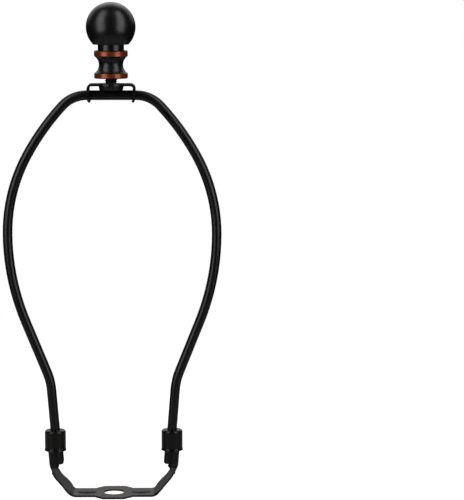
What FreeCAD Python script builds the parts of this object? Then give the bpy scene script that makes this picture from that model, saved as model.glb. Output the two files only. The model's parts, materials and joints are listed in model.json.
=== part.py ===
import FreeCAD, Part
import math
import os
import Sketcher

# A lamp harp: a bent wire bow that stands in a saddle under the lamp's socket and carries the shade.
# Two sleeves lock the wire's feet in the saddle, and a ball finial on a swivelling stud holds the shade.
# Millimetres. +X runs from leg to leg, +Y to the back and +Z up.
# The origin is the centre of the saddle's hole, on the saddle's underside.

# Driving sizes
SIZES = [
    ("harp_height", 203.2, "saddle underside to the top of the bracket, a nominal eight inch harp"),
    ("harp_width", 102.04, "between the wire's centrelines at the widest place"),
    ("widest_drop", 67.8, "from the top's centreline down to the widest place"),
    ("wire_diameter", 4.76, "three sixteenths of an inch"),
    ("top_flat", 24.0, "straight stretch of wire under the bracket"),
    ("corner_radius", 16.0, "bend from the top into the shoulder, on the centreline"),
    ("shoulder_radius", 121.4, "flat bend of the shoulder, on the centreline"),
    ("shoulder_turn", 14.0, "degrees turned by the shoulder"),
    ("taper_length", 26.85, "straight stretch above the ankle"),
    ("ankle_radius", 31.8, "reverse bend above the feet, on the centreline"),
    ("leg_length", 35.1, "straight stretch that stands in the saddle and that the sleeve slides on"),
    ("leg_lean", 4.6, "degrees by which each leg leans outwards as it rises"),
    ("leg_spacing", 57.68, "between the legs' centrelines at the sleeves' tops"),
    ("foot_height", 17.2, "lower end of the wire"),
    ("foot_chamfer", 0.4, "on the wire's ends"),
    ("sheet_thickness", 0.95, "of the saddle"),
    ("hole_diameter", 10.5, "slips over a pipe nipple of 10 mm thread"),
    ("plate_length", 10.4, "flat edge of the plate round the hole, along X"),
    ("plate_depth", 23.6, "plate round the hole, along Y"),
    ("plate_span", 18.8, "plate's length where its corners run into the strip"),
    ("strip_depth", 15.0, "strip beside the plate, along Y"),
    ("corner_position", 19.85, "from the hole to where the strip and the arm would meet, mid-sheet"),
    ("corner_bend", 2.4, "inner radius of that bend"),
    ("arm_angle", 48.0, "degrees by which the arms rise"),
    ("heel_radius", 5.5, "bend from the arm into the socket tube, mid-sheet"),
    ("lobe_position", 22.9, "from the hole to the widest place of the arm"),
    ("lobe_depth", 20.4, "arm's widest place, along Y"),
    ("lobe_radius", 2.0, "of the wide place's edge, seen from above"),
    ("lobe_fillet", 1.4, "where it runs into the strip and into the arm's upper part"),
    ("arm_depth", 18.0, "arm above the lobes, along Y"),
    ("heel_depth", 20.8, "arm's flared end, which is rolled up into the tube, along Y"),
    ("bead_position", 13.3, "from the hole to the middle of the stiffening bead"),
    ("bead_length", 9.4, "bead along X"),
    ("bead_depth", 6.4, "bead along Y"),
    ("bead_height", 0.8, "bead above the strip"),
    ("tube_radius", 3.95, "outside of the rolled tube that takes the wire's foot"),
    ("tube_offset", 0.55, "from the wire's centreline out to the tube's, because the leg springs inwards"),
    ("tube_bottom", 15.5, "height of the tube's lower end on its axis"),
    ("tube_slit", 62.0, "degrees left open in the rolled tube, on its inner side"),
    ("tube_corner", 1.0, "rounding of the tube's lower corners"),
    ("neck_width", 12.6, "sheet's developed width where the notched neck meets the tube"),
    ("sleeve_height", 10.2, "of the cup"),
    ("sleeve_top", 32.4, "height of the sleeves' tops"),
    ("sleeve_radius", 5.2, "outside, below the shoulder"),
    ("sleeve_wall", 0.4, "drawn sheet"),
    ("sleeve_shoulder", 1.1, "outer radius of the shoulder"),
    ("lip_radius", 5.4, "outside of the flared lip"),
    ("lip_height", 1.3, "of the flare"),
    ("sleeve_clearance", 0.1, "between the wire and the sleeve's hole, on the radius"),
    ("sleeve_seat", 0.1, "between the tube's top and the sleeve's end wall"),
    ("bracket_width", 23.5, "over the bracket's legs"),
    ("bracket_thickness", 1.2, "sheet"),
    ("bracket_bend", 1.2, "inner radius of the bracket's corners"),
    ("bracket_depth", 8.6, "strip, along Y"),
    ("bracket_disc", 12.6, "diameter of the wide place round the stud"),
    ("claw_bend", 1.7, "inner radius where the legs' ends turn in"),
    ("claw_turn", 54.0, "degrees by which they turn in"),
    ("claw_tip", 3.0, "width of a leg's rounded end, along Y"),
    ("claw_start", 1.45, "from the wire's centreline down to the start of the turn"),
    ("tilt_clearance", 0.06, "between the wire and the bracket's holes, on the radius"),
    ("stud_diameter", 6.2, "over the thread"),
    ("stud_length", 12.7, "above the bracket"),
    ("stud_chamfer", 0.5, "at the stud's tip"),
    ("relief_radius", 2.65, "of the groove where the thread runs out, in the bracket's hole"),
    ("relief_height", 0.6, "of that groove"),
    ("thread_start", 0.1, "from the bracket's top up to the full thread"),
    ("stud_head_top", 12.2, "diameter of the head under the bracket"),
    ("stud_head_bottom", 11.5, "diameter of the head above the wire"),
    ("stud_head_height", 1.9, "trapped between the bracket and the wire"),
    ("swivel_clearance", 0.1, "above and below the head"),
    ("stud_clearance", 0.06, "round the stud in the bracket and the finial, on the radius"),
    ("finial_gap", 2.45, "bracket's top to the finial's lower face"),
    ("ring_radius", 8.15, "the finial's two bands"),
    ("lower_ring", 2.75, "height of the lower band"),
    ("upper_ring", 3.0, "height of the upper band"),
    ("spool_height", 7.7, "between the bands"),
    ("spool_radius", 5.86, "waist of the spool"),
    ("spool_rim", 7.7, "spool's radius beside the bands"),
    ("ring_chamfer", 0.35, "edges of the bands"),
    ("finial_neck", 6.36, "radius of the neck under the ball"),
    ("neck_height", 2.85, "between the upper band and the ball"),
    ("ball_radius", 12.0, "the finial's ball"),
    ("ball_flat", 8.55, "radius of the ball's flat underside"),
    ("tapped_floor", 0.3, "from the stud's tip to the floor of the finial's hole"),
    ("drill_point", 118.0, "degrees, whole angle of the drill's point"),
]

doc = FreeCAD.newDocument("lamp_harp")
sheet = doc.addObject("Spreadsheet::Sheet", "Sizes")
for row, (alias, number, note) in enumerate(SIZES, start=1):
    sheet.set("A%d" % row, alias)
    sheet.set("B%d" % row, str(number))
    sheet.set("C%d" % row, note)
    sheet.setAlias("B%d" % row, alias)
doc.recompute()


# Sizes worked out from the driving ones
WIRE_RADIUS = "(Sizes.wire_diameter / 2)"
LEAN = "(Sizes.leg_lean * 1 deg)"
ARM = "(Sizes.arm_angle * 1 deg)"
WIRE_TOP = (
    "(Sizes.harp_height - Sizes.bracket_thickness - Sizes.stud_head_height"
    " - 2 * Sizes.swivel_clearance - Sizes.wire_diameter / 2)"
)
FOOT_X = "(Sizes.leg_spacing / 2 - (Sizes.sleeve_top - Sizes.foot_height) * tan(%s))" % LEAN
TUBE_MIDDLE = "(Sizes.tube_radius - Sizes.sheet_thickness / 2)"
TUBE_FOOT_X = (
    "(Sizes.leg_spacing / 2 + Sizes.tube_offset"
    " - (Sizes.sleeve_top - Sizes.tube_bottom) * tan(%s))" % LEAN
)
TUBE_TOP = "(Sizes.sleeve_top - Sizes.sleeve_wall - Sizes.sleeve_seat)"
TUBE_LENGTH = "((%s - Sizes.tube_bottom) / cos(%s) - Sizes.tube_radius * tan(%s))" % (TUBE_TOP, LEAN, LEAN)
# The web is the back of the tube, mid-sheet. It meets the arm's line at the heel.
WEB_AT_ZERO = "(%s + %s / cos(%s) - Sizes.tube_bottom * tan(%s))" % (TUBE_FOOT_X, TUBE_MIDDLE, LEAN, LEAN)
ARM_RUN = (
    "((%s + Sizes.sheet_thickness / 2 * tan(%s) - Sizes.corner_position) / (cos(%s) - sin(%s) * tan(%s)))"
    % (WEB_AT_ZERO, LEAN, ARM, ARM, LEAN)
)
HEEL_TURN = "(90 - Sizes.leg_lean - Sizes.arm_angle)"
HEEL_TANGENT = "(Sizes.heel_radius * tan(%s / 2 * 1 deg))" % HEEL_TURN
CORNER_TANGENT = "((Sizes.corner_bend + Sizes.sheet_thickness / 2) * tan(%s / 2))" % ARM
ARM_LENGTH = "(%s - %s - %s)" % (ARM_RUN, HEEL_TANGENT, CORNER_TANGENT)
ARM_END_X = "(Sizes.corner_position + (%s - %s) * cos(%s))" % (ARM_RUN, HEEL_TANGENT, ARM)
ARM_END_Z = "(Sizes.sheet_thickness / 2 + (%s - %s) * sin(%s))" % (ARM_RUN, HEEL_TANGENT, ARM)
# The blank is bent wide enough for the plate, the lobes and the heels, and then trimmed
BLANK_DEPTH = "(Sizes.plate_depth + Sizes.lobe_depth + Sizes.heel_depth)"
FINIAL_BOTTOM = "(Sizes.harp_height + Sizes.finial_gap)"
SPOOL_BOTTOM = "(%s + Sizes.lower_ring)" % FINIAL_BOTTOM
SPOOL_TOP = "(%s + Sizes.spool_height)" % SPOOL_BOTTOM
NECK_BOTTOM = "(%s + Sizes.upper_ring)" % SPOOL_TOP
BALL_BOTTOM = "(%s + Sizes.neck_height)" % NECK_BOTTOM
BALL_3 = "(%s + sqrt(Sizes.ball_radius ^ 2 - Sizes.ball_flat ^ 2))" % BALL_BOTTOM


def value(expression):
    """The number that an expression over the sheet's sizes comes to."""
    result = sheet.evalExpression(expression)
    return float(getattr(result, "Value", result))


def bind(thing, prop, expression):
    """Tie a property to an expression over the sheet's sizes."""
    thing.setExpression(prop, expression)


def new_body(name):
    body = doc.addObject("PartDesign::Body", name)
    body.Label = name
    return body


def origin_part(body, role):
    """One of a body's own base planes or axes."""
    return next(item for item in body.Origin.OriginFeatures if item.Role == role)


def new_sketch(body, plane, name):
    sketch = body.newObject("Sketcher::SketchObject", name)
    sketch.AttachmentSupport = [(origin_part(body, plane), "")]
    sketch.MapMode = "FlatFace"
    return sketch


# In a sketch, -1 is the X axis, whose point 1 is the origin, and -2 is the Y axis.
# A line's or an arc's points 1 and 2 are its ends, and 3 is an arc's centre.
def hold(sketch, kind, where, expression):
    """Add a dimension whose value follows an expression. Angles are in degrees."""
    start = value(expression)
    if kind == "Angle":
        start = math.radians(start)
        expression = "(%s) * 1 deg" % expression
    number = sketch.addConstraint(Sketcher.Constraint(kind, *where, start))
    bind(sketch, "Constraints[%d]" % number, expression)


def tie(sketch, kind, *where):
    """Add a relation without a value."""
    sketch.addConstraint(Sketcher.Constraint(kind, *where))


class Trail:
    """Tangent lines and arcs drawn one after the other in a sketch."""

    def __init__(self, sketch, x, y, heading):
        self.sketch = sketch
        self.point = FreeCAD.Vector(x, y, 0)
        self.heading = math.radians(heading)
        self.tail = None

    def join(self, shape, first, last):
        number = self.sketch.addGeometry(shape)
        if self.tail:
            tie(self.sketch, "Tangent", self.tail[0], self.tail[1], number, first)
        self.tail = (number, last)
        return number

    def line(self, length):
        ahead = FreeCAD.Vector(math.cos(self.heading), math.sin(self.heading), 0)
        end = self.point + ahead * length
        shape = Part.LineSegment(self.point, end)
        self.point = end
        return self.join(shape, 1, 2)

    def arc(self, radius, turn):
        """An arc that turns left by so many degrees, or right if they are negative."""
        side = 1 if turn > 0 else -1
        left = FreeCAD.Vector(-math.sin(self.heading), math.cos(self.heading), 0)
        centre = self.point + left * (side * radius)
        start = self.heading - side * math.pi / 2
        end = start + math.radians(turn)
        circle = Part.Circle(centre, FreeCAD.Vector(0, 0, 1), radius)
        shape = Part.ArcOfCircle(circle, min(start, end), max(start, end))
        self.point = centre + FreeCAD.Vector(math.cos(end), math.sin(end), 0) * radius
        self.heading += math.radians(turn)
        first, last = (1, 2) if side > 0 else (2, 1)
        return self.join(shape, first, last)


def polygon(sketch, points):
    """Draw a closed polygon from pairs of expressions, hold each corner's place and return its lines."""
    places = [FreeCAD.Vector(value(x), value(y), 0) for x, y in points]
    lines = []
    for here, there in zip(places, places[1:] + places[:1]):
        lines.append(sketch.addGeometry(Part.LineSegment(here, there)))
    for number, line in enumerate(lines):
        tie(sketch, "Coincident", lines[number - 1], 2, line, 1)
        place_point(sketch, line, 1, points[number])
    return lines


def place_point(sketch, shape, end, point):
    """Hold a point of a shape at a pair of expressions."""
    for kind, axis, expression in (("DistanceX", -2, point[0]), ("DistanceY", -1, point[1])):
        if abs(value(expression)) < 1e-9:
            tie(sketch, "PointOnObject", shape, end, axis)
        else:
            hold(sketch, kind, (-1, 1, shape, end), expression)


def edges_where(shape, test):
    """The names of a shape's edges that pass a test."""
    return ["Edge%d" % number for number, edge in enumerate(shape.Edges, start=1) if test(edge)]


def round_edges(body, name, kind, prop, expression, test):
    """Fillet or chamfer those edges of a body that pass a test."""
    base = body.Tip
    doc.recompute()
    feature = body.newObject("PartDesign::%s" % kind, name)
    feature.Base = (base, edges_where(base.Shape, test))
    bind(feature, prop, expression)
    return feature


def mirror_whole(body, name, plane):
    """Mirror a whole body so far in one of its base planes."""
    mirrored = body.newObject("PartDesign::Mirrored", name)
    mirrored.TransformMode = "Whole shape"
    mirrored.MirrorPlane = (origin_part(body, plane), [""])
    body.Tip = mirrored
    return mirrored


def turned(body, name, profile):
    """Turn a closed profile in the XZ plane about the Z axis."""
    revolution = body.newObject("PartDesign::Revolution", name)
    revolution.Profile = profile
    revolution.ReferenceAxis = (origin_part(body, "Z_Axis"), [""])
    revolution.Angle = 360.0
    return revolution


def circle_in(sketch, x, y, radius):
    """Draw a circle held by expressions."""
    place = FreeCAD.Vector(value(x), value(y), 0)
    circle = sketch.addGeometry(Part.Circle(place, FreeCAD.Vector(0, 0, 1), value(radius)))
    place_point(sketch, circle, 3, (x, y))
    hold(sketch, "Radius", (circle,), radius)
    return circle


# The wire
def heading_step(heading):
    """A step of 1 in a direction given in degrees below the horizontal."""
    turn = math.radians(heading)
    return FreeCAD.Vector(math.cos(turn), -math.sin(turn), 0)


def arc_step(start, end):
    """The step made by a right-hand arc of radius 1 between two headings, in degrees below the horizontal."""
    a, b = math.radians(start), math.radians(end)
    return FreeCAD.Vector(math.sin(b) - math.sin(a), math.cos(b) - math.cos(a), 0)


def heading_that_fits(left_over, low, high):
    """The heading at which what is left over of a path is an arc that ends or starts upright."""
    def miss(heading):
        rest, arc = left_over(heading)
        return rest.cross(arc).z
    below = miss(low) > 0
    for _ in range(60):
        middle = (low + high) / 2
        if (miss(middle) > 0) == below:
            low = middle
        else:
            high = middle
    rest, arc = left_over(low)
    return low, rest.Length / arc.Length


def draw_half_wire(sketch):
    """The right half of the wire's centreline, from the middle of the top down to the foot.

    The corner's turn and the side's radius follow from the place of the widest point. Below it, one arc and
    the turn of the ankle follow from the place of the foot.
    """
    flat = value("Sizes.top_flat / 2")
    corner_radius = value("Sizes.corner_radius")
    shoulder_radius = value("Sizes.shoulder_radius")
    shoulder_turn = value("Sizes.shoulder_turn")
    taper_length = value("Sizes.taper_length")
    ankle_radius = value("Sizes.ankle_radius")
    leg_length = value("Sizes.leg_length")
    leg = 90 + value("Sizes.leg_lean")
    top = FreeCAD.Vector(0, value(WIRE_TOP), 0)
    widest = FreeCAD.Vector(value("Sizes.harp_width / 2"), value("%s - Sizes.widest_drop" % WIRE_TOP), 0)
    foot = FreeCAD.Vector(value(FOOT_X), value("Sizes.foot_height"), 0)

    def left_for_side(corner):
        shoulder = corner + shoulder_turn
        path = heading_step(0) * flat + arc_step(0, corner) * corner_radius
        path += arc_step(corner, shoulder) * shoulder_radius
        return widest - top - path, arc_step(shoulder, 90)

    def left_for_lower_bend(taper):
        path = heading_step(taper) * taper_length - arc_step(taper, leg) * ankle_radius
        path += heading_step(leg) * leg_length
        return foot - widest - path, arc_step(90, taper)

    corner, side_radius = heading_that_fits(left_for_side, 0, 90 - shoulder_turn)
    taper, lower_radius = heading_that_fits(left_for_lower_bend, leg, 180)

    trail = Trail(sketch, 0, top.y, 0)
    top_line = trail.line(flat)
    corner_arc = trail.arc(corner_radius, -corner)
    shoulder_arc = trail.arc(shoulder_radius, -shoulder_turn)
    side_arc = trail.arc(side_radius, corner + shoulder_turn - 90)
    trail.arc(lower_radius, 90 - taper)
    taper_line = trail.line(taper_length)
    ankle_arc = trail.arc(ankle_radius, taper - leg)
    leg_line = trail.line(leg_length)

    place_point(sketch, top_line, 1, ("0", WIRE_TOP))
    tie(sketch, "Horizontal", top_line)
    hold(sketch, "Distance", (top_line,), "Sizes.top_flat / 2")
    hold(sketch, "Radius", (corner_arc,), "Sizes.corner_radius")
    hold(sketch, "Radius", (shoulder_arc,), "Sizes.shoulder_radius")
    hold(sketch, "Angle", (shoulder_arc,), "Sizes.shoulder_turn")
    place_point(sketch, side_arc, 1, ("Sizes.harp_width / 2", "%s - Sizes.widest_drop" % WIRE_TOP))
    tie(sketch, "Horizontal", side_arc, 3, side_arc, 1)
    hold(sketch, "Distance", (taper_line,), "Sizes.taper_length")
    hold(sketch, "Radius", (ankle_arc,), "Sizes.ankle_radius")
    hold(sketch, "Distance", (leg_line,), "Sizes.leg_length")
    hold(sketch, "Angle", (leg_line,), "-90 - Sizes.leg_lean")
    place_point(sketch, leg_line, 2, (FOOT_X, "Sizes.foot_height"))


def make_wire():
    body = new_body("harp_wire")
    path = new_sketch(body, "XZ_Plane", "wire_path")
    draw_half_wire(path)
    section = new_sketch(body, "YZ_Plane", "wire_section")
    circle_in(section, "0", WIRE_TOP, WIRE_RADIUS)
    doc.recompute()
    pipe = body.newObject("PartDesign::AdditivePipe", "wire_half")
    pipe.Profile = section
    pipe.Spine = (path, ["Edge%d" % number for number in range(1, len(path.Shape.Edges) + 1)])
    low = value("Sizes.foot_height") + value("Sizes.wire_diameter")
    round_edges(
        body, "foot_edge", "Chamfer", "Size", "Sizes.foot_chamfer",
        lambda edge: edge.BoundBox.ZMax < low,
    )
    mirror_whole(body, "both_halves", "YZ_Plane")
    return body


# Bent sheet
def bent_strip(sketch, height, thickness, side, runs):
    """The edge view of half a bent sheet that starts level on the Z axis.

    height is that of the face away from the bends' centres, side is 1 if the sheet bends up and -1 if down,
    and runs are straight lengths, or pairs of an inner radius and a turn in degrees.
    """
    thick = value(thickness)
    far = Trail(sketch, 0, value(height), 0)
    near = Trail(sketch, 0, value(height) + side * thick, 0)
    pieces = []
    for run in runs:
        if isinstance(run, tuple):
            radius, turn = value(run[0]), value(run[1])
            pieces.append((far.arc(radius + thick, side * turn), near.arc(radius, side * turn)))
        else:
            pieces.append((far.line(value(run)), near.line(value(run))))
    for (far_piece, near_piece), run in zip(pieces, runs):
        if isinstance(run, tuple):
            tie(sketch, "Coincident", far_piece, 3, near_piece, 3)
            hold(sketch, "Radius", (near_piece,), run[0])
            hold(sketch, "Angle", (near_piece,), run[1])
            hold(sketch, "Angle", (far_piece,), run[1])
        else:
            hold(sketch, "Distance", (near_piece,), run)
    far_start, near_start = pieces[0]
    place_point(sketch, far_start, 1, ("0", height))
    tie(sketch, "PointOnObject", near_start, 1, -2)
    tie(sketch, "Horizontal", far_start)
    tie(sketch, "Horizontal", near_start)
    first_cap = sketch.addGeometry(Part.LineSegment(
        FreeCAD.Vector(0, value(height), 0), FreeCAD.Vector(0, value(height) + side * thick, 0)))
    tie(sketch, "Coincident", first_cap, 1, far_start, 1)
    tie(sketch, "Coincident", first_cap, 2, near_start, 1)
    hold(sketch, "Distance", (first_cap,), thickness)
    last_cap = sketch.addGeometry(Part.LineSegment(far.point, near.point))
    tie(sketch, "Coincident", last_cap, 1, far.tail[0], far.tail[1])
    tie(sketch, "Coincident", last_cap, 2, near.tail[0], near.tail[1])
    if not isinstance(runs[-1], tuple):
        tie(sketch, "Perpendicular", last_cap, pieces[-1][1])


def pad_both_ways(body, name, profile, length):
    pad = body.newObject("PartDesign::Pad", name)
    pad.Profile = profile
    pad.SideType = "Symmetric"
    bind(pad, "Length", length)
    return pad


def cut_through(body, name, profile):
    """Cut a profile through the whole body, both ways."""
    pocket = body.newObject("PartDesign::Pocket", name)
    pocket.Profile = profile
    pocket.SideType = "Symmetric"
    pocket.Type = "ThroughAll"
    return pocket


# The saddle
def trim_outline(sketch, side):
    """What is cut away beside one long edge of the right half of the saddle, seen from above."""
    strip_edge = "Sizes.strip_depth / 2"
    arm_edge = "Sizes.arm_depth / 2"
    heel_edge = "Sizes.heel_depth / 2"
    lobe_centre = "(Sizes.lobe_depth / 2 - Sizes.lobe_radius)"
    outer = BLANK_DEPTH
    flare_end = "(%s - Sizes.sheet_thickness)" % ARM_END_X
    flare = "(%s - (Sizes.heel_depth - Sizes.arm_depth))" % flare_end
    end = "(%s + Sizes.heel_radius)" % ARM_END_X
    lobe_x = value("Sizes.lobe_position")
    lobe_y = value(lobe_centre)
    lobe_radius = value("Sizes.lobe_radius")
    fillet = value("Sizes.lobe_fillet")

    def at(x, y):
        return FreeCAD.Vector(x, side * y, 0)

    def arc(x, y, radius, start, end):
        """An arc about a point between two directions in degrees, mirrored for the front edge."""
        if side < 0:
            start, end = -end, -start
        circle = Part.Circle(at(x, y), FreeCAD.Vector(0, 0, 1), radius)
        return Part.ArcOfCircle(circle, math.radians(start), math.radians(end))

    def signed(expression):
        return expression if side > 0 else "-(%s)" % expression

    def beside_lobe(edge):
        """How far from the lobe's centre a fillet's centre is along X, and the slope between the two."""
        rise = value(edge) + fillet - lobe_y
        reach = math.sqrt((lobe_radius + fillet) ** 2 - rise ** 2)
        return reach, math.degrees(math.atan2(rise, reach))

    inner_reach, inner_lean = beside_lobe(strip_edge)
    outer_reach, outer_lean = beside_lobe(arm_edge)
    plate_edge = "Sizes.plate_depth / 2"
    plate_end = "Sizes.plate_length / 2"
    slant_end = "Sizes.plate_span / 2"
    places = [
        at(0, value(plate_edge)),
        at(value(plate_end), value(plate_edge)),
        at(value(slant_end), value(strip_edge)),
        at(lobe_x - inner_reach, value(strip_edge)),
    ]
    line, slant, strip = [sketch.addGeometry(Part.LineSegment(*pair)) for pair in zip(places, places[1:])]
    first = sketch.addGeometry(arc(places[3].x, value(strip_edge) + fillet, fillet, -90, -inner_lean))
    lobe = sketch.addGeometry(arc(lobe_x, lobe_y, lobe_radius, outer_lean, 180 - inner_lean))
    second_x = lobe_x + outer_reach
    second = sketch.addGeometry(arc(second_x, value(arm_edge) + fillet, fillet, 180 + outer_lean, 270))
    places = [
        at(second_x, value(arm_edge)),
        at(value(flare), value(arm_edge)),
        at(value(flare_end), value(heel_edge)),
        at(value(end), value(heel_edge)),
        at(value(end), value(outer)),
        at(0, value(outer)),
        at(0, value(plate_edge)),
    ]
    lines = [sketch.addGeometry(Part.LineSegment(*pair)) for pair in zip(places, places[1:])]
    arm, flared, heel, out, back, close = lines

    start_end = (1, 2) if side > 0 else (2, 1)
    tie(sketch, "Coincident", line, 2, slant, 1)
    tie(sketch, "Coincident", slant, 2, strip, 1)
    tie(sketch, "Tangent", strip, 2, first, start_end[0])
    tie(sketch, "Tangent", first, start_end[1], lobe, start_end[1])
    tie(sketch, "Tangent", lobe, start_end[0], second, start_end[0])
    tie(sketch, "Tangent", second, start_end[1], arm, 1)
    chain = (arm, flared, heel, out, back, close, line)
    for here, there in zip(chain, chain[1:]):
        tie(sketch, "Coincident", here, 2, there, 1)
    tie(sketch, "Horizontal", strip)
    tie(sketch, "Horizontal", arm)
    place_point(sketch, line, 1, ("0", signed(plate_edge)))
    place_point(sketch, slant, 1, (plate_end, signed(plate_edge)))
    place_point(sketch, strip, 1, (slant_end, signed(strip_edge)))
    hold(sketch, "Radius", (first,), "Sizes.lobe_fillet")
    hold(sketch, "Radius", (second,), "Sizes.lobe_fillet")
    hold(sketch, "Radius", (lobe,), "Sizes.lobe_radius")
    place_point(sketch, lobe, 3, ("Sizes.lobe_position", signed(lobe_centre)))
    place_point(sketch, flared, 1, (flare, signed(arm_edge)))
    place_point(sketch, heel, 1, (flare_end, signed(heel_edge)))
    place_point(sketch, out, 1, (end, signed(heel_edge)))
    place_point(sketch, back, 1, (end, signed(outer)))
    place_point(sketch, close, 1, ("0", signed(outer)))


def lean_sketch(body, name, x, z, heading):
    """A sketch across the sheet's path: its x points to the inside of the bend and its y along Y."""
    sketch = new_sketch(body, "XY_Plane", name)
    sketch.AttachmentOffset = FreeCAD.Placement(
        FreeCAD.Vector(value(x), 0, value(z)),
        FreeCAD.Rotation(FreeCAD.Vector(0, -1, 0), value(heading) + 90),
    )
    bind(sketch, "AttachmentOffset.Base.x", x)
    bind(sketch, "AttachmentOffset.Base.z", z)
    bind(sketch, "AttachmentOffset.Rotation.Angle", "(%s + 90) * 1 deg" % heading)
    return sketch


def curled_section(sketch, radius, width, thickness):
    """The sheet's section where it is curled to a mid-sheet radius about a centre on the sketch's x axis."""
    middle, wide, thick = value(radius), value(width), value(thickness)
    half = wide / middle / 2
    centre = FreeCAD.Vector(middle, 0, 0)
    shapes = []
    for reach in (middle + thick / 2, middle - thick / 2):
        circle = Part.Circle(centre, FreeCAD.Vector(0, 0, 1), reach)
        shapes.append(Part.ArcOfCircle(circle, math.pi - half, math.pi + half))
    outer = sketch.addGeometry(shapes[0])
    last = sketch.addGeometry(Part.LineSegment(shapes[0].EndPoint, shapes[1].EndPoint))
    inner = sketch.addGeometry(shapes[1])
    first = sketch.addGeometry(Part.LineSegment(shapes[1].StartPoint, shapes[0].StartPoint))
    for here, there, ends in (
        (outer, last, (2, 1)), (last, inner, (2, 2)), (inner, first, (1, 1)), (first, outer, (2, 1)),
    ):
        tie(sketch, "Coincident", here, ends[0], there, ends[1])
    tie(sketch, "Coincident", outer, 3, inner, 3)
    place_point(sketch, outer, 3, (radius, "0"))
    hold(sketch, "Radius", (outer,), "%s + %s / 2" % (radius, thickness))
    hold(sketch, "Radius", (inner,), "%s - %s / 2" % (radius, thickness))
    tie(sketch, "Symmetric", outer, 1, outer, 2, -1)
    tie(sketch, "Symmetric", inner, 1, inner, 2, -1)
    turn = "%s / %s * 180 / pi" % (width, radius)
    hold(sketch, "Angle", (outer,), turn)
    hold(sketch, "Angle", (inner,), turn)


NECK_STEPS = 4


def make_neck(body):
    """The neck curls from the flat arm into a trough as it bends up into the tube."""
    sections = []
    thick = "Sizes.sheet_thickness"
    for step in range(NECK_STEPS + 1):
        share = step / NECK_STEPS
        turned_by = "(%s * %g)" % (HEEL_TURN, share)
        heading = "(Sizes.arm_angle + %s)" % turned_by
        x = "(%s + Sizes.heel_radius * (sin(%s * 1 deg) - sin(%s)))" % (ARM_END_X, heading, ARM)
        z = "(%s + Sizes.heel_radius * (cos(%s) - cos(%s * 1 deg)))" % (ARM_END_Z, ARM, heading)
        if step == NECK_STEPS:
            x = "(%s + %s * cos(%s))" % (TUBE_FOOT_X, TUBE_MIDDLE, LEAN)
            z = "(Sizes.tube_bottom - %s * sin(%s))" % (TUBE_MIDDLE, LEAN)
        sketch = lean_sketch(body, "neck_section_%d" % step, x, z, heading)
        width = "(Sizes.heel_depth + (Sizes.neck_width - Sizes.heel_depth) * %g)" % share
        if step == 0:
            half = "%s / 2" % width
            polygon(sketch, [
                ("-%s / 2" % thick, half), ("-%s / 2" % thick, "-" + half),
                ("%s / 2" % thick, "-" + half), ("%s / 2" % thick, half),
            ])
        else:
            curled_section(sketch, "(%s / %g)" % (TUBE_MIDDLE, share), width, thick)
        sections.append(sketch)
    doc.recompute()
    loft = body.newObject("PartDesign::AdditiveLoft", "neck")
    loft.Profile = sections[0]
    loft.Sections = sections[1:]
    loft.Ruled = False
    return loft


def make_tube(body):
    """The rolled tube that takes the wire's foot, open on the side that faces the other arm."""
    heading = "(90 - Sizes.leg_lean)"
    x = "(%s + %s * cos(%s))" % (TUBE_FOOT_X, TUBE_MIDDLE, LEAN)
    z = "(Sizes.tube_bottom - %s * sin(%s))" % (TUBE_MIDDLE, LEAN)
    sketch = lean_sketch(body, "tube_section", x, z, heading)
    width = "((360 - Sizes.tube_slit) / 180 * pi * %s)" % TUBE_MIDDLE
    curled_section(sketch, TUBE_MIDDLE, width, "Sizes.sheet_thickness")
    tube = body.newObject("PartDesign::Pad", "tube")
    tube.Profile = sketch
    tube.Reversed = True
    bind(tube, "Length", TUBE_LENGTH)
    return tube


def make_bead(body):
    """A long bead pressed up beside the hole: the same dome on top and underneath."""
    for kind, name, z in (
        ("AdditiveEllipsoid", "bead_top", "Sizes.sheet_thickness"),
        ("SubtractiveEllipsoid", "bead_hollow", "0"),
    ):
        bead = body.newObject("PartDesign::%s" % kind, name)
        bead.AttachmentSupport = [(origin_part(body, "XY_Plane"), "")]
        bead.MapMode = "FlatFace"
        bind(bead, "Radius1", "Sizes.bead_height")
        bind(bead, "Radius2", "Sizes.bead_length / 2")
        bind(bead, "Radius3", "Sizes.bead_depth / 2")
        bind(bead, "AttachmentOffset.Base.x", "Sizes.bead_position")
        bind(bead, "AttachmentOffset.Base.z", z)


def make_saddle():
    body = new_body("saddle")
    profile = new_sketch(body, "XZ_Plane", "saddle_profile")
    level = "(Sizes.corner_position - %s)" % CORNER_TANGENT
    bent_strip(
        profile, "0", "Sizes.sheet_thickness", 1,
        [level, ("Sizes.corner_bend", "Sizes.arm_angle"), ARM_LENGTH],
    )
    pad_both_ways(body, "bent_sheet", profile, BLANK_DEPTH)
    outline = new_sketch(body, "XY_Plane", "saddle_outline")
    for side in (1, -1):
        trim_outline(outline, side)
    cut_through(body, "trimmed_edges", outline)
    make_bead(body)
    make_neck(body)
    make_tube(body)
    slit_x = value("%s - Sizes.tube_radius / 2" % TUBE_FOOT_X)
    bottom = value("Sizes.tube_bottom")
    above = value("Sizes.tube_bottom + Sizes.tube_radius")

    def lower_corner(edge):
        short = edge.Length < value("Sizes.sheet_thickness * 1.2")
        at_bottom = bottom < edge.BoundBox.ZMin and edge.BoundBox.ZMax < above
        return short and at_bottom and edge.BoundBox.XMax < slit_x
    round_edges(body, "tube_corners", "Fillet", "Radius", "Sizes.tube_corner", lower_corner)
    mirror_whole(body, "both_arms", "YZ_Plane")
    hole = new_sketch(body, "XY_Plane", "nipple_hole")
    circle_in(hole, "0", "0", "Sizes.hole_diameter / 2")
    cut_through(body, "drilled_plate", hole)
    return body


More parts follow.
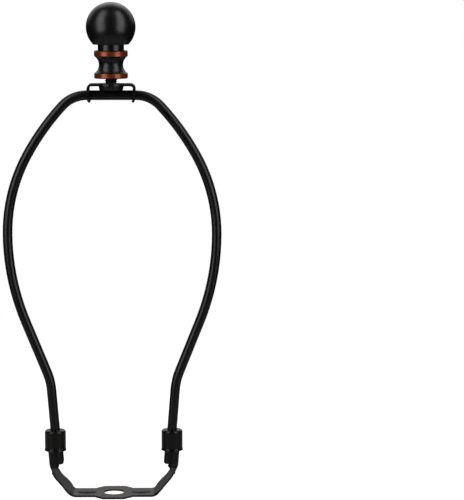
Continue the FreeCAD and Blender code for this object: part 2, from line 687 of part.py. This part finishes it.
# The sleeves
def make_sleeve(name, side):
    """A drawn cup, open below, that slides down the leg over the saddle's tube."""
    body = new_body(name)
    profile = new_sketch(body, "XZ_Plane", name + "_profile")
    hole = "(%s + Sizes.sleeve_clearance)" % WIRE_RADIUS
    inside = "(Sizes.sleeve_radius - Sizes.sleeve_wall)"
    lip_inside = "(Sizes.lip_radius - Sizes.sleeve_wall)"
    below = "(-Sizes.sleeve_height)"
    flare = "(-Sizes.sleeve_height + Sizes.lip_height)"
    under = "(-Sizes.sleeve_wall)"
    lines = polygon(profile, [
        (hole, "0"), ("Sizes.sleeve_radius", "0"), ("Sizes.sleeve_radius", flare), ("Sizes.lip_radius", below),
        (lip_inside, below), (inside, flare), (inside, under), (hole, under),
    ])
    turned(body, name + "_cup", profile)
    outer = value("Sizes.sleeve_radius")
    round_edges(
        body, name + "_shoulder", "Fillet", "Radius", "Sizes.sleeve_shoulder",
        lambda edge: abs(edge.BoundBox.XMax - outer) < 1e-6 and edge.BoundBox.ZMin > -1e-6,
    )
    inner = value(inside)
    roof = value(under)
    round_edges(
        body, name + "_inner_shoulder", "Fillet", "Radius", "Sizes.sleeve_shoulder - Sizes.sleeve_wall",
        lambda edge: abs(edge.BoundBox.XMax - inner) < 1e-6 and abs(edge.BoundBox.ZMin - roof) < 1e-6,
    )
    middle = "(Sizes.leg_spacing / 2 - Sizes.sleeve_wall / 2 * tan(%s))" % LEAN
    bind(body, "Placement.Base.x", middle if side > 0 else "-" + middle)
    bind(body, "Placement.Base.z", "Sizes.sleeve_top")
    return body


# The bracket
def make_bracket():
    """A strip over the wire whose legs have holes for it. The stud's head is trapped underneath."""
    body = new_body("top_bracket")
    profile = new_sketch(body, "XZ_Plane", "bracket_profile")
    thick = "Sizes.bracket_thickness"
    level = "(Sizes.bracket_width / 2 - %s - Sizes.bracket_bend)" % thick
    drop = "(Sizes.harp_height - %s - Sizes.bracket_bend - (%s - Sizes.claw_start))" % (thick, WIRE_TOP)
    bent_strip(
        profile, "Sizes.harp_height", thick, -1,
        [level, ("Sizes.bracket_bend", "90"), drop, ("Sizes.claw_bend", "Sizes.claw_turn")],
    )
    pad_both_ways(body, "bracket_strip", profile, "Sizes.bracket_depth")
    mirror_whole(body, "both_legs", "YZ_Plane")
    doc.recompute()

    ends = new_sketch(body, "YZ_Plane", "claw_outline")
    low = "(%s - Sizes.claw_start)" % WIRE_TOP
    floor = "(%s - Sizes.claw_start - Sizes.claw_bend - 2 * %s)" % (WIRE_TOP, thick)
    tip = "(%s - Sizes.claw_start - (Sizes.claw_bend + %s) * sin(Sizes.claw_turn * 1 deg))" % (WIRE_TOP, thick)
    for side in ("", "-"):
        polygon(ends, [
            ("%s(Sizes.bracket_depth / 2)" % side, low),
            ("%s(Sizes.bracket_depth / 2)" % side, floor),
            ("%s(Sizes.claw_tip / 2)" % side, floor),
            ("%s(Sizes.claw_tip / 2)" % side, tip),
        ])
    cut_through(body, "tapered_claws", ends)

    disc = new_sketch(body, "XY_Plane", "disc_outline")
    bind(disc, "AttachmentOffset.Base.z", "Sizes.harp_height - %s" % thick)
    circle_in(disc, "0", "0", "Sizes.bracket_disc / 2")
    pad = body.newObject("PartDesign::Pad", "stud_disc")
    pad.Profile = disc
    bind(pad, "Length", thick)

    wire_hole = new_sketch(body, "YZ_Plane", "wire_hole")
    circle_in(wire_hole, "0", WIRE_TOP, "%s + Sizes.tilt_clearance" % WIRE_RADIUS)
    cut_through(body, "wire_holes", wire_hole)
    stud_hole = new_sketch(body, "XY_Plane", "stud_hole")
    circle_in(stud_hole, "0", "0", "Sizes.stud_diameter / 2 + Sizes.stud_clearance")
    cut_through(body, "drilled_disc", stud_hole)
    return body


# The stud
def make_stud():
    """A thread that turns in the bracket, on a head that can't come through it."""
    body = new_body("threaded_stud")
    profile = new_sketch(body, "XZ_Plane", "stud_profile")
    head_top = "(Sizes.harp_height - Sizes.bracket_thickness - Sizes.swivel_clearance)"
    head_bottom = "(%s - Sizes.stud_head_height)" % head_top
    tip = "(Sizes.harp_height + Sizes.stud_length)"
    radius = "(Sizes.stud_diameter / 2)"
    thread = "(Sizes.harp_height + Sizes.thread_start)"
    run_out = "(%s - Sizes.relief_height)" % thread
    polygon(profile, [
        ("0", head_bottom),
        ("Sizes.stud_head_bottom / 2", head_bottom),
        ("Sizes.stud_head_top / 2", head_top),
        (radius, head_top),
        (radius, run_out),
        ("Sizes.relief_radius", run_out),
        ("Sizes.relief_radius", thread),
        (radius, thread),
        (radius, "(%s - Sizes.stud_chamfer)" % tip),
        ("(%s - Sizes.stud_chamfer)" % radius, tip),
        ("0", tip),
    ])
    turned(body, "stud", profile)
    return body


# The finial
def make_finial():
    """Turned in one piece: two bands, a spool between them, a neck and a ball, tapped from below."""
    body = new_body("finial")
    profile = new_sketch(body, "XZ_Plane", "finial_profile")
    bore = "(Sizes.stud_diameter / 2 + Sizes.stud_clearance)"
    floor = "(Sizes.harp_height + Sizes.stud_length + Sizes.tapped_floor)"
    point = "(%s + %s / tan(Sizes.drill_point / 2 * 1 deg))" % (floor, bore)
    cut = "Sizes.ring_chamfer"
    ring = "Sizes.ring_radius"
    corners = [
        (bore, FINIAL_BOTTOM),
        ("(%s - %s)" % (ring, cut), FINIAL_BOTTOM),
        (ring, "(%s + %s)" % (FINIAL_BOTTOM, cut)),
        (ring, "(%s - %s)" % (SPOOL_BOTTOM, cut)),
        ("(%s - %s)" % (ring, cut), SPOOL_BOTTOM),
        ("Sizes.spool_rim", SPOOL_BOTTOM),
        ("Sizes.spool_rim", SPOOL_TOP),
        ("(%s - %s)" % (ring, cut), SPOOL_TOP),
        (ring, "(%s + %s)" % (SPOOL_TOP, cut)),
        (ring, "(%s - %s)" % (NECK_BOTTOM, cut)),
        ("(%s - %s)" % (ring, cut), NECK_BOTTOM),
        ("Sizes.finial_neck", NECK_BOTTOM),
        ("Sizes.finial_neck", BALL_BOTTOM),
        ("Sizes.ball_flat", BALL_BOTTOM),
        ("0", "(%s + Sizes.ball_radius)" % BALL_3),
        ("0", point),
        (bore, floor),
    ]
    spool_start = 5
    ball_start = 13
    places = [FreeCAD.Vector(value(x), value(z), 0) for x, z in corners]
    shapes = []
    for number, here in enumerate(places):
        there = places[(number + 1) % len(places)]
        if number == spool_start:
            waist = FreeCAD.Vector(value("Sizes.spool_radius"), (here.y + there.y) / 2, 0)
            shapes.append(Part.Arc(here, waist, there))
        elif number == ball_start:
            centre = FreeCAD.Vector(0, value(BALL_3), 0)
            circle = Part.Circle(centre, FreeCAD.Vector(0, 0, 1), value("Sizes.ball_radius"))
            start = math.atan2(here.y - centre.y, here.x)
            shapes.append(Part.ArcOfCircle(circle, start, math.pi / 2))
        else:
            shapes.append(Part.LineSegment(here, there))
    pieces = [profile.addGeometry(shape) for shape in shapes]
    # The spool's arc is hollow, so it runs from its upper end to its lower one
    ends = {pieces[spool_start]: (2, 1)}
    for number, piece in enumerate(pieces):
        before = pieces[number - 1]
        tie(profile, "Coincident", before, ends.get(before, (1, 2))[1], piece, ends.get(piece, (1, 2))[0])
        place_point(profile, piece, ends.get(piece, (1, 2))[0], corners[number])
    tie(profile, "PointOnObject", pieces[ball_start], 3, -2)
    spool_rise = "(Sizes.spool_rim - Sizes.spool_radius)"
    spool_curve = "(((Sizes.spool_height / 2) ^ 2 + %s ^ 2) / (2 * %s))" % (spool_rise, spool_rise)
    hold(profile, "Radius", (pieces[spool_start],), spool_curve)
    turned(body, "finial_turning", profile)
    return body


SUB_PARTS = [
    make_wire(),
    make_saddle(),
    make_sleeve("left_sleeve", -1),
    make_sleeve("right_sleeve", 1),
    make_bracket(),
    make_stud(),
    make_finial(),
]
doc.recompute()

# Every object must have built before anything is written
for item in doc.Objects:
    if "Invalid" in item.State or "Error" in item.State:
        raise RuntimeError("%s did not build: %s" % (item.Name, item.State))
for body in SUB_PARTS:
    if body.Shape.isNull() or not body.Shape.isValid() or len(body.Shape.Solids) != 1:
        raise RuntimeError("%s is not one sound solid" % body.Label)

os.makedirs("parts", exist_ok=True)
for body in SUB_PARTS:
    body.Shape.exportStep("parts/%s.step" % body.Label)
    box = body.Shape.BoundBox
    print("%s  volume %.1f  x %.2f to %.2f  y %.2f to %.2f  z %.2f to %.2f" % (
        body.Label, body.Shape.Volume, box.XMin, box.XMax, box.YMin, box.YMax, box.ZMin, box.ZMax))
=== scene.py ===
import json
import math

import bmesh
import bpy
from mathutils import Matrix, Vector


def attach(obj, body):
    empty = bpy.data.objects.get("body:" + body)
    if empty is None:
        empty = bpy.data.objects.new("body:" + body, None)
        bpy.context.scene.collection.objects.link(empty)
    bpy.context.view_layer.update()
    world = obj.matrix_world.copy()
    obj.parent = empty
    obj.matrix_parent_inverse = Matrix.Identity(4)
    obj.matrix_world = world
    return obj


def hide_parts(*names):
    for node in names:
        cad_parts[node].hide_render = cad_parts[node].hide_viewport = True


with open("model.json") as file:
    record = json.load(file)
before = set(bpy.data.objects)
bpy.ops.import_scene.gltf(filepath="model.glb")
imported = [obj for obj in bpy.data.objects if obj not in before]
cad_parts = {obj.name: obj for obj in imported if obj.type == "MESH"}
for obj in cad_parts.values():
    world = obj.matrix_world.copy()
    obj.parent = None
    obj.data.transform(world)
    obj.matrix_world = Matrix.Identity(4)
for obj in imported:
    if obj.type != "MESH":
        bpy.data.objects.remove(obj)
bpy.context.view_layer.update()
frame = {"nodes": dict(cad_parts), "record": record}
nodes = frame["nodes"]
scene = bpy.context.scene

# Lengths are in metres. The harp stands in the plane XZ, and its axis is the world's Z axis.
WHITE = (1.0, 1.0, 1.0)

# Noise scales shared by the two enamels: how the black and its roughness drift along a piece
SHADE_SCALE = 60.0
ROUGHNESS_SCALE = 140.0

# How far a piece's roughness strays from its mean, below and above
ENAMEL_STRAYS = (-0.05, 0.06)
PLATING_STRAYS = (-0.06, 0.08)

# The saddle: the radii between which the hole's rim of worn bare metal and painted highlight
# ends and how ragged that edge is, and the heights between which the plate's colour turns to
# black on the tubes as painted shade
RIM_WEAR_AND_HIGHLIGHT = (0.0052, 0.0058)
RIM_RAGGEDNESS = 0.0002
BARE_METAL_AND_HIGHLIGHT = (0.055, 0.030, 0.016)
# Painted shade: the heights over which the plate's colour turns black up the tubes, and that
# black
TUBE_SHADE_HEIGHTS = (0.010, 0.016)
TUBE_PAINTED_SHADE = (0.0016, 0.0015, 0.0014)

# The finial's copper bands: their heights at rest, and the radius of the two rings. The copper
# begins a little inside the ring's edges, along a wavy and soft line, and is thin in patches.
LOWER_BAND = (0.20565, 0.20840)
UPPER_BAND = (0.21610, 0.21910)
RING_RADIUS = 0.00815
COPPER_STARTS = (RING_RADIUS - 0.0005, RING_RADIUS - 0.0002)
BAND_INSET = 0.0004
BAND_WAVES = 0.00022
BAND_SOFTNESS = 0.00022
THIN_PATCHES = (0.32, 0.55)
THINNEST = 0.70
COPPER_DARK = (0.13, 0.020, 0.004)
COPPER_LIGHT = (0.22, 0.052, 0.012)
COPPER_METALLIC = 0.62
FINIAL_ROUGHNESS = (0.27, 0.33)

# The stud's thread, right-handed with 27 turns per inch
THREAD_PITCH = 0.0254 / 27
THREAD_CREST = 0.0031
THREAD_ROOT = 0.00255
THREAD_STEEPNESS = 1.3
THREAD_FLAT = 0.15
THREAD_START = 0.2033
STUD_TIP = 0.2159
TIP_CHAMFER = 0.0005
STUD_SIDES = 64
ROWS_PER_TURN = 8
SHARP_ANGLE = math.radians(38)
# Height and radius of the rows below the thread: the head, the shank above it and the groove
STUD_HEAD = [(0.2000, 0.00565), (0.2001, 0.00575), (0.2018, 0.00608), (0.2019, 0.0060)]
STUD_SHANK = [(0.2019, THREAD_CREST), (0.2027, THREAD_CREST)]
STUD_GROOVE = [(0.2027, 0.00265), (THREAD_START, 0.00265)]

# The outer corners of the saddle's heels, and how far pressing has drawn them in
HEEL_CORNER = Vector((0.0303, 0.0102, 0.0118))
HEEL_DRAW = Vector((0.0007, 0.0008, -0.0003))
HEEL_REACH = 0.0040

# The floor's glow and the backdrop are white for the camera. Reflections see only a little of
# the one, and the other only where the world's direction turns towards +Y and upwards.
FLOOR_RADIUS = 0.30
FLOOR_SHADES = ((0.41, 0.41, 0.41), (0.44, 0.44, 0.44))
FLOOR_FADES = (0.08, 0.27)
FLOOR_GLOW = (0.89, 1.0)
FLOOR_MIRRORED = 0.02
AMBIENT = 0.02
BACKDROP = (0.35, 0.75)
BACKDROP_FOOT = (0.06, 0.32)

CAMERA_PLACE = Vector((0.038, -1.016, 0.256))
CAMERA_TARGET = Vector((0.0585, 0, 0.12175))


# Helpers
def emptied(owner):
    """The node tree of a material or world, without any node."""
    owner.use_nodes = True
    owner.node_tree.nodes.clear()
    return owner.node_tree


def node(tree, kind, inputs=None, **settings):
    """Add a node. An input is another node's output, a number or a colour."""
    made = tree.nodes.new(kind)
    for key, setting in settings.items():
        setattr(made, key, setting)
    for key, source in (inputs or {}).items():
        socket = made.inputs[key]
        if isinstance(source, bpy.types.NodeSocket):
            tree.links.new(source, socket)
        elif socket.type == "RGBA":
            socket.default_value = (*source, 1.0)
        else:
            socket.default_value = source
    return made


def object_place(tree):
    return node(tree, "ShaderNodeTexCoord").outputs["Object"]


def noise(tree, scale, detail=3.0, place=None):
    inputs = {"Scale": scale, "Detail": detail, "Roughness": 0.55,
              "Vector": place or object_place(tree)}
    return node(tree, "ShaderNodeTexNoise", inputs).outputs["Fac"]


def ranged(tree, source, low, high, to_low, to_high):
    """Carry a value from one range over to another, and stop at its ends."""
    inputs = {"Value": source, "From Min": low, "From Max": high,
              "To Min": to_low, "To Max": to_high}
    return node(tree, "ShaderNodeMapRange", inputs).outputs["Result"]


def wavering(tree, source, low, high):
    """A noise drawn out over a range. Most of its values lie between 0.3 and 0.7."""
    return ranged(tree, source, 0.3, 0.7, low, high)


def straying(tree, source, mean, strays):
    """A mean value that a noise moves a little down and up."""
    below, above = strays
    return wavering(tree, source, mean + below, mean + above)


def combined(tree, operation, first, second):
    inputs = {0: first, 1: second}
    return node(tree, "ShaderNodeMath", inputs, operation=operation).outputs[0]


def mixed(tree, share, first, second):
    """Mix two colours."""
    inputs = {"Factor": share, 6: first, 7: second}
    return node(tree, "ShaderNodeMix", inputs, data_type="RGBA").outputs[2]


def clouded(tree, source, dark, light):
    """Two shades in soft patches that follow a noise."""
    return mixed(tree, ranged(tree, source, 0.35, 0.65, 0.0, 1.0), dark, light)


def bumped(tree, height, strength, distance):
    inputs = {"Height": height, "Strength": strength, "Distance": distance}
    return node(tree, "ShaderNodeBump", inputs).outputs["Normal"]


def length_of(tree, vector):
    return node(tree, "ShaderNodeVectorMath", {0: vector}, operation="LENGTH").outputs["Value"]


def height_above(tree, piece):
    """The height of a point of a CAD node at rest, from the node's own coordinates."""
    apart = node(tree, "ShaderNodeSeparateXYZ", {0: object_place(tree)})
    return combined(tree, "ADD", apart.outputs["Z"], piece.matrix_world.translation.z)


def from_axis(tree, piece):
    """The distance of a point of a CAD node at rest from the harp's axis."""
    inputs = {0: object_place(tree), 1: piece.matrix_world.translation}
    shifted = node(tree, "ShaderNodeVectorMath", inputs, operation="ADD")
    inputs = {0: shifted.outputs[0], 1: (1.0, 1.0, 0.0)}
    level = node(tree, "ShaderNodeVectorMath", inputs, operation="MULTIPLY")
    return length_of(tree, level.outputs[0])


def placed(name, data):
    """Add an object to the scene."""
    made = bpy.data.objects.new(name, data)
    scene.collection.objects.link(made)
    return made


def placed_form(name, form):
    """Add an object to the scene from a bmesh."""
    mesh = bpy.data.meshes.new(name)
    form.to_mesh(mesh)
    form.free()
    return placed(name, mesh)


# Materials
def finish(tree, colour, rough, normal, gloss, metallic=0.0):
    """End a material's tree with its shader."""
    inputs = {"Base Color": colour, "Roughness": rough, "Normal": normal,
              "Metallic": metallic, "Specular IOR Level": gloss}
    shader = node(tree, "ShaderNodeBsdfPrincipled", inputs)
    node(tree, "ShaderNodeOutputMaterial", {"Surface": shader.outputs["BSDF"]})


def enamel(name, dark, light, rough, gloss, grain, bump):
    """Satin black enamel: fine orange peel, and a roughness that drifts along the piece."""
    material = bpy.data.materials.new(name)
    tree = emptied(material)
    colour = clouded(tree, noise(tree, SHADE_SCALE), dark, light)
    roughness = straying(tree, noise(tree, ROUGHNESS_SCALE), rough, ENAMEL_STRAYS)
    normal = bumped(tree, noise(tree, grain, detail=2.0), bump, distance=0.00004)
    finish(tree, colour, roughness, normal, gloss)
    return material


def plated(name, dark, light, rough, gloss, drawn=(1.0, 1.0, 1.0), tinted=None):
    """Dark plating over pressed steel: cloudy, with drawing marks along one axis."""
    material = bpy.data.materials.new(name)
    tree = emptied(material)
    inputs = {"Scale": drawn, "Vector": object_place(tree)}
    place = node(tree, "ShaderNodeMapping", inputs).outputs["Vector"]
    colour = clouded(tree, noise(tree, scale=220.0, detail=4.0, place=place), dark, light)
    if tinted:
        colour = tinted(tree, colour)
    roughness = straying(tree, noise(tree, scale=500.0, place=place), rough, PLATING_STRAYS)
    grain = noise(tree, scale=1500.0, detail=2.0, place=place)
    normal = bumped(tree, grain, strength=0.2, distance=0.00003)
    finish(tree, colour, roughness, normal, gloss)
    return material


def saddle_wear_and_painted_light(tree, colour):
    """Bare metal and painted highlight round the saddle's hole; painted shade on its tubes."""
    # A lighter ring round the hole: worn bare metal together with a painted highlight of its rim
    ragged = wavering(tree, noise(tree, scale=700.0), -RIM_RAGGEDNESS, RIM_RAGGEDNESS)
    reach = combined(tree, "ADD", from_axis(tree, nodes["saddle"]), ragged)
    colour = mixed(tree, ranged(tree, reach, *RIM_WEAR_AND_HIGHLIGHT, 1.0, 0.0), colour, BARE_METAL_AND_HIGHLIGHT)
    # Painted shade: the plate's colour turns black up the upright tubes
    raised = ranged(tree, height_above(tree, nodes["saddle"]), *TUBE_SHADE_HEIGHTS, 0.0, 1.0)
    return mixed(tree, raised, colour, TUBE_PAINTED_SHADE)


def band(tree, height, low, high, soft):
    """1 between two heights and 0 outside them, with a soft edge."""
    up = ranged(tree, height, low - soft, low + soft, 0.0, 1.0)
    down = ranged(tree, height, high - soft, high + soft, 1.0, 0.0)
    return combined(tree, "MULTIPLY", up, down)


def finial_finish(name, dark, light, gloss):
    """Satin black with the two bands rubbed back to copper colour, darker at their edges."""
    material = bpy.data.materials.new(name)
    tree = emptied(material)
    waves = wavering(tree, noise(tree, scale=330.0), -BAND_WAVES, BAND_WAVES)
    height = combined(tree, "ADD", height_above(tree, nodes["finial"]), waves)
    lower, upper = (band(tree, height, low + BAND_INSET, high - BAND_INSET, BAND_SOFTNESS)
                    for low, high in (LOWER_BAND, UPPER_BAND))
    rim = ranged(tree, from_axis(tree, nodes["finial"]), *COPPER_STARTS, 0.0, 1.0)
    rubbed = combined(tree, "MULTIPLY", combined(tree, "MAXIMUM", lower, upper), rim)
    patches = noise(tree, scale=520.0, detail=4.0)
    kept = ranged(tree, patches, *THIN_PATCHES, THINNEST, 1.0)
    share = combined(tree, "MULTIPLY", rubbed, kept)
    black = clouded(tree, noise(tree, SHADE_SCALE), dark, light)
    copper = mixed(tree, noise(tree, scale=900.0), COPPER_DARK, COPPER_LIGHT)
    colour = mixed(tree, share, black, copper)
    roughness = wavering(tree, noise(tree, ROUGHNESS_SCALE), *FINIAL_ROUGHNESS)
    metallic = ranged(tree, share, 0.0, 1.0, 0.0, COPPER_METALLIC)
    grain = noise(tree, scale=1400.0, detail=2.0)
    normal = bumped(tree, grain, strength=0.12, distance=0.00003)
    finish(tree, colour, roughness, normal, gloss, metallic)
    return material


MATERIALS = {
    "wire": enamel(
        "wire_enamel", (0.0014, 0.0013, 0.0013), (0.0024, 0.0022, 0.0021),
        rough=0.30, gloss=0.27, grain=900.0, bump=0.10),
    "saddle": plated(
        "saddle_plating", (0.0035, 0.0033, 0.0031), (0.0150, 0.0132, 0.0112),
        rough=0.37, gloss=0.22, drawn=(0.3, 1.0, 1.0), tinted=saddle_wear_and_painted_light),
    "sleeve": plated(
        "sleeve_plating", (0.0009, 0.0009, 0.0007), (0.0020, 0.0018, 0.0013),
        rough=0.27, gloss=0.23, drawn=(1.0, 1.0, 0.25)),
    "bracket": plated(
        "bracket_plating", (0.0013, 0.0013, 0.0013), (0.0026, 0.0025, 0.0023),
        rough=0.33, gloss=0.26),
    "stud": plated(
        "stud_plating", (0.0030, 0.0029, 0.0027), (0.0050, 0.0047, 0.0044),
        rough=0.33, gloss=0.30),
    "finial": finial_finish(
        "finial_enamel", (0.0011, 0.0011, 0.0013), (0.0020, 0.0020, 0.0022), gloss=0.33),
}
for entry in frame["record"]["subparts"]:
    piece = nodes[entry["node"]]
    piece.data.materials.clear()
    piece.data.materials.append(MATERIALS[entry["material_slot"]])


# The stud with its thread
def thread_radius(height, turn):
    """The thread's radius at a height and a share of a turn. It grows out of the groove, and
    the stud's tip is chamfered."""
    phase = (height / THREAD_PITCH - turn) % 1.0
    flank = min(1.0, max(0.0, THREAD_STEEPNESS * abs(2.0 * phase - 1.0) - THREAD_FLAT))
    fade = min(1.0, (height - THREAD_START) / THREAD_PITCH)
    radius = THREAD_ROOT + (THREAD_CREST - THREAD_ROOT) * flank * fade
    return min(radius, THREAD_CREST - max(0.0, height - (STUD_TIP - TIP_CHAMFER)))


def stud_ring(form, height, radius):
    """A ring of vertices. Without a radius it lies on the thread."""
    ring = []
    for side in range(STUD_SIDES):
        turn = side / STUD_SIDES
        reach = radius or thread_radius(height, turn)
        angle = 2.0 * math.pi * turn
        place = (reach * math.cos(angle), reach * math.sin(angle), height)
        ring.append(form.verts.new(place))
    return ring


def threaded_rod():
    """The swivel stud, with the thread above its groove."""
    threaded = STUD_TIP - THREAD_START
    count = round(threaded / (THREAD_PITCH / ROWS_PER_TURN))
    rows = STUD_HEAD + STUD_SHANK + STUD_GROOVE
    rows += [(THREAD_START + threaded * number / count, None) for number in range(count + 1)]
    form = bmesh.new()
    rings = [stud_ring(form, height, radius) for height, radius in rows]
    for below, above in zip(rings, rings[1:]):
        for side in range(STUD_SIDES):
            after = (side + 1) % STUD_SIDES
            form.faces.new((below[side], below[after], above[after], above[side]))
    form.faces.new(list(reversed(rings[0])))
    form.faces.new(rings[-1])
    rod = placed_form("stud_thread", form)
    rod.data.shade_smooth()
    rod.data.set_sharp_from_angle(angle=SHARP_ANGLE)
    rod.data.materials.append(MATERIALS["stud"])
    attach(rod, "stud")
    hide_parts("threaded_stud")


threaded_rod()


# The saddle with its softened heels
def drawn_in(point):
    """The place of a point of the saddle after its nearest heel corner is drawn in."""
    side = Vector((math.copysign(1, point.x), math.copysign(1, point.y), 1))
    away = (point - HEEL_CORNER * side).length / HEEL_REACH
    if away >= 1:
        return point
    share = (1 - away) ** 2 * (1 + 2 * away)
    return point - HEEL_DRAW * side * share


def pressed_saddle():
    """The CAD saddle's mesh with its heel corners drawn in."""
    source = nodes["saddle"]
    mesh = source.data.copy()
    mesh.name = "pressed_saddle"
    to_world = source.matrix_world.copy()
    to_mesh = to_world.inverted()
    for vertex in mesh.vertices:
        vertex.co = to_mesh @ drawn_in(to_world @ vertex.co)
    piece = placed("pressed_saddle", mesh)
    piece.matrix_world = to_world
    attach(piece, "harp")
    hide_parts("saddle")


pressed_saddle()


# Floor and background
def ray_kinds(tree):
    """1 for a ray from the camera, and 1 for one from a reflection or through glass."""
    path = node(tree, "ShaderNodeLightPath").outputs
    mirrored = combined(tree, "MAXIMUM", path["Is Glossy Ray"], path["Is Transmission Ray"])
    return path["Is Camera Ray"], mirrored


def from_direction(tree, axis, low, high):
    """0 to 1 as the world's direction turns towards an axis."""
    direction = node(tree, "ShaderNodeTexCoord").outputs["Generated"]
    apart = node(tree, "ShaderNodeSeparateXYZ", {0: direction})
    return ranged(tree, apart.outputs[axis], low, high, 0.0, 1.0)


def make_floor():
    """A pale table. Its own glow brings it to white for the camera, less so near the object."""
    material = bpy.data.materials.new("pale_floor")
    tree = emptied(material)
    tone = mixed(tree, noise(tree, scale=3.0), *FLOOR_SHADES)
    diffuse = node(tree, "ShaderNodeBsdfDiffuse", {"Color": tone})
    reach = length_of(tree, object_place(tree))
    glow_by_place = ranged(tree, reach, *FLOOR_FADES, *FLOOR_GLOW)
    from_camera, mirrored = ray_kinds(tree)
    in_mirror = combined(tree, "MULTIPLY", mirrored, FLOOR_MIRRORED)
    seen = combined(tree, "MAXIMUM", from_camera, in_mirror)
    strength = combined(tree, "MULTIPLY", glow_by_place, seen)
    glow = node(tree, "ShaderNodeEmission", {"Color": WHITE, "Strength": strength})
    inputs = {0: diffuse.outputs["BSDF"], 1: glow.outputs["Emission"]}
    both = node(tree, "ShaderNodeAddShader", inputs)
    node(tree, "ShaderNodeOutputMaterial", {"Surface": both.outputs["Shader"]})
    form = bmesh.new()
    bmesh.ops.create_circle(form, cap_ends=True, segments=96, radius=FLOOR_RADIUS)
    floor = placed_form("floor", form)
    floor.data.materials.append(material)


def make_world():
    """A white backdrop that stands behind the object, in a dim studio."""
    world = bpy.data.worlds.new("studio")
    scene.world = world
    tree = emptied(world)
    from_camera, mirrored = ray_kinds(tree)
    sideways = from_direction(tree, "Y", *BACKDROP)
    upwards = from_direction(tree, "Z", *BACKDROP_FOOT)
    behind = combined(tree, "MULTIPLY", mirrored, combined(tree, "MULTIPLY", sideways, upwards))
    seen = combined(tree, "MAXIMUM", from_camera, behind)
    strength = ranged(tree, seen, 0.0, 1.0, AMBIENT, 1.0)
    background = node(tree, "ShaderNodeBackground", {"Color": WHITE, "Strength": strength})
    node(tree, "ShaderNodeOutputWorld", {"Surface": background.outputs["Background"]})


make_floor()
make_world()


# Lamps
def softbox(name, place, lean, width, height, watts):
    """A panel that faces the object's axis and leans back by an angle in degrees."""
    data = bpy.data.lights.new(name, "AREA")
    data.shape = "RECTANGLE"
    data.size = width
    data.size_y = height
    data.energy = watts
    tall = Vector((0, math.sin(math.radians(lean)), math.cos(math.radians(lean))))
    towards = Vector((-place[0], -place[1], 0))
    towards -= towards.dot(tall) * tall
    back = -towards.normalized()
    side = tall.cross(back)
    lamp = placed(name, data)
    lamp.location = place
    lamp.rotation_mode = "QUATERNION"
    lamp.rotation_quaternion = Matrix((side, tall, back)).transposed().to_quaternion()
    lamp.visible_camera = False


for name, x in (("left_softbox", -0.38), ("right_softbox", 0.42)):
    softbox(name, place=(x, -0.26, 0.67), lean=15.0, width=0.34, height=1.30, watts=5.0)
softbox("rear_softbox", place=(0.0, 0.40, 0.66), lean=-48.0, width=0.50, height=0.40, watts=0.45)


# Camera
view = bpy.data.cameras.new("photo_view")
view.sensor_width = 36.0
view.lens = 150.8
camera = placed("photo_view", view)
camera.location = CAMERA_PLACE
camera.rotation_mode = "QUATERNION"
camera.rotation_quaternion = (CAMERA_TARGET - CAMERA_PLACE).to_track_quat("-Z", "Y")
scene.camera = camera
scene.view_settings.view_transform = "Standard"
